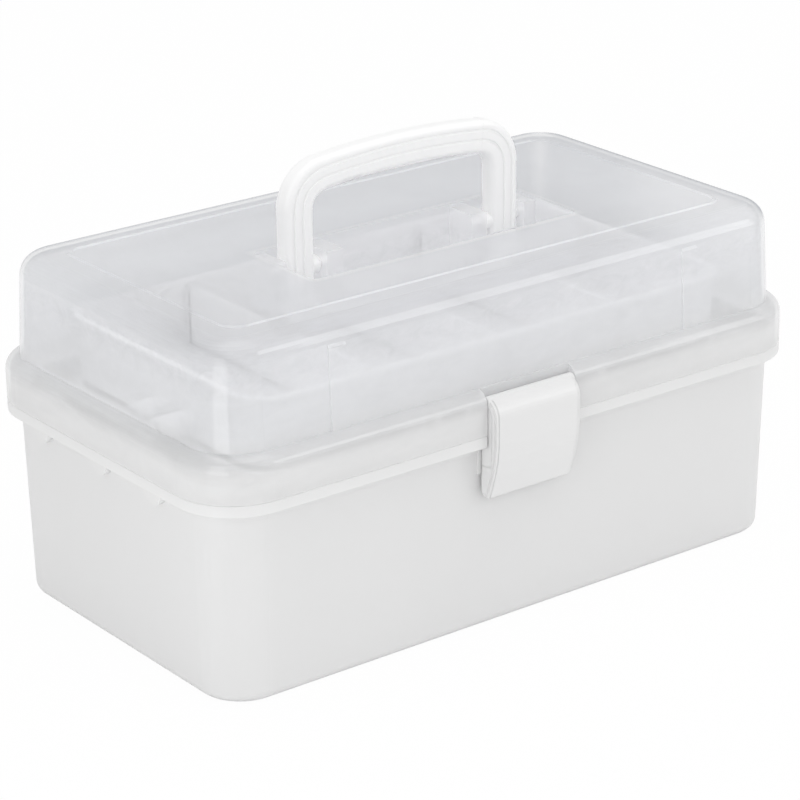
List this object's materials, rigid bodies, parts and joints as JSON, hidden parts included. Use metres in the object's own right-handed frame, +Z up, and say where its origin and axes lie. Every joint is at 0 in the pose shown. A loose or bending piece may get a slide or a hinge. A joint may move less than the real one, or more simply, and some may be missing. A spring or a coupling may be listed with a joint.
{
  "type": "art supply box",
  "caption": "Hinged plastic craft case with a clear lid, cantilever trays on swing arms, a folding carry handle and a front latch.",
  "frame": {"origin": "centre of the underside's footprint, on the ground plane", "axes": "+X right along the long side, +Y back towards the hinge, +Z up; the latch is at the front, on the -Y side"},
  "size_m": [0.33, 0.1969, 0.2047],
  "materials": {
    "tub": "milky translucent polypropylene with a soft sheen",
    "lid": "hazy clear plastic with a smooth moulded skin",
    "latch": "white moulded plastic",
    "handle": "white moulded plastic",
    "trays": "milky translucent polypropylene",
    "dividers": "milky translucent polypropylene",
    "arms": "white moulded plastic",
    "pins": "drawn steel wire"
  },
  "bodies": {
    "base": {"tub": "tub", "tub_pins": "pins", "left_hinge_pin": "pins", "right_hinge_pin": "pins"},
    "cover": {"lid": "lid", "lid_link_pins": "pins", "latch_pin": "pins"},
    "carry_handle": {"handle": "handle", "handle_pins": "handle"},
    "front_latch": {"latch": "latch"},
    "arms": {"left_main_arm": "arms", "right_main_arm": "arms"},
    "lower_links": {"left_lower_link": "arms", "right_lower_link": "arms"},
    "lower_tray_body": {"lower_tray": "trays", "lower_tray_dividers": "dividers", "lower_tray_pins": "pins"},
    "upper_tray_body": {"upper_tray": "trays", "upper_tray_dividers": "dividers", "upper_tray_pins": "pins"},
    "upper_links": {"left_upper_link": "arms", "right_upper_link": "arms"},
    "lid_links": {"left_lid_link": "arms", "right_lid_link": "arms"}
  },
  "joints": [
    {"name": "lid_hinge", "type": "hinge", "parent": "base", "child": "cover", "pos_m": [0, 0.0955, 0.095], "axis": [-1, 0, 0], "range_deg": [0, 120]},
    {"name": "latch_pivot", "type": "hinge", "parent": "cover", "child": "front_latch", "pos_m": [0, -0.0907, 0.1088], "axis": [-1, 0, 0], "range_deg": [0, 100]},
    {"name": "handle_pivot", "type": "hinge", "parent": "cover", "child": "carry_handle", "pos_m": [0, 0, 0.1533], "axis": [1, 0, 0], "range_deg": [0, 70]},
    {"name": "arm_swing", "type": "hinge", "parent": "base", "child": "arms", "pos_m": [0, 0.058, 0.094], "axis": [-1, 0, 0], "range_deg": [0, 76.8]},
    {"name": "lower_link_swing", "type": "hinge", "parent": "base", "child": "lower_links", "pos_m": [0, 0.052, 0.083], "axis": [-1, 0, 0], "range_deg": [0, 76.8]},
    {"name": "lower_tray_level", "type": "hinge", "parent": "arms", "child": "lower_tray_body", "pos_m": [0, 0.002, 0.081], "axis": [1, 0, 0], "range_deg": [0, 76.8]},
    {"name": "upper_tray_level", "type": "hinge", "parent": "arms", "child": "upper_tray_body", "pos_m": [0, -0.024, 0.107], "axis": [1, 0, 0], "range_deg": [0, 76.8]},
    {"name": "upper_link_swing", "type": "hinge", "parent": "lower_tray_body", "child": "upper_links", "pos_m": [0, 0.023, 0.081], "axis": [-1, 0, 0], "range_deg": [0, 76.8]},
    {"name": "lid_link_swing", "type": "hinge", "parent": "cover", "child": "lid_links", "pos_m": [0, 0.066, 0.107], "axis": [1, 0, 0], "range_deg": [0, 77.66]}
  ],
  "couplings": [
    {"joint": "arm_swing", "follows": "lid_hinge", "ratio": 0.64},
    {"joint": "lower_link_swing", "follows": "lid_hinge", "ratio": 0.64},
    {"joint": "lower_tray_level", "follows": "lid_hinge", "ratio": 0.64},
    {"joint": "upper_tray_level", "follows": "lid_hinge", "ratio": 0.64},
    {"joint": "upper_link_swing", "follows": "lid_hinge", "ratio": 0.64},
    {"joint": "lid_link_swing", "follows": "lid_hinge", "ratio": 0.6471}
  ]
}
